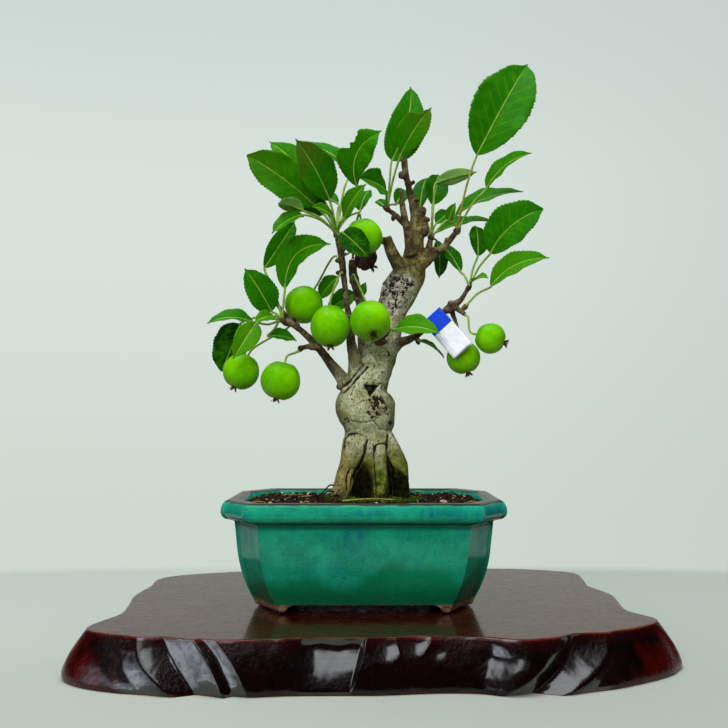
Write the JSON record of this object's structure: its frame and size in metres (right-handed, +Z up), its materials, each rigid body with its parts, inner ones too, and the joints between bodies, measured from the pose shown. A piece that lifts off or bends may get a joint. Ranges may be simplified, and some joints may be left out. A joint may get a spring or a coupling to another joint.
{
  "type": "crabapple bonsai",
  "caption": "Crabapple bonsai with green fruit in a glazed rectangular pot on a dark lacquered display board, with a blank plant label on one twig",
  "frame": {"origin": "on the floor, under the middle of the display board's outline", "axes": "+Z up along the trunk, +X to the right and +Y away from a viewer in front of the pot's long side"},
  "size_m": [0.2856, 0.216, 0.3207],
  "materials": {
    "lacquered_board": "dark red lacquer over fine-grained wood, gouged edge, high gloss",
    "pot_glaze": "running teal-green glaze with blue streaks, brown where it thins on edges, bare clay feet",
    "soil": "dark crumbly soil with moss, grit and small roots",
    "screen_plastic": "matt black plastic mesh",
    "bark": "grey-beige bark with dark specks and scars, mossy green at the roots",
    "leaf": "satin green leaves, pale veins, lighter matt undersides",
    "green_apple": "waxy bright green apple skin with pale dots, dry brown calyx",
    "dried_apple": "dark red-brown shrivelled skin",
    "label_card": "smooth white card with a blue band, left blank"
  },
  "bodies": {
    "root": {"display_board": "lacquered_board", "pot": "pot_glaze", "soil": "soil", "drain_screen_left": "screen_plastic", "drain_screen_right": "screen_plastic", "tree": "bark", "leaves_upper_left": "leaf", "leaves_centre": "leaf", "leaves_right_top": "leaf", "leaves_right_behind": "leaf", "leaves_right_low": "leaf", "leaf_right_spur": "leaf", "leaves_left": "leaf", "leaf_between_fruit": "leaf", "leaf_behind_fruit": "leaf", "leaf_low_front": "leaf", "leaf_label_side": "leaf", "leaf_tiny_shoot": "leaf", "apple_crown": "green_apple", "apple_left_high": "green_apple", "apple_middle": "green_apple", "apple_front": "green_apple", "apple_far_left": "green_apple", "apple_left_low": "green_apple", "apple_far_right": "green_apple", "apple_right_low": "green_apple", "apple_dried": "dried_apple", "plant_label": "label_card"}
  },
  "joints": []
}
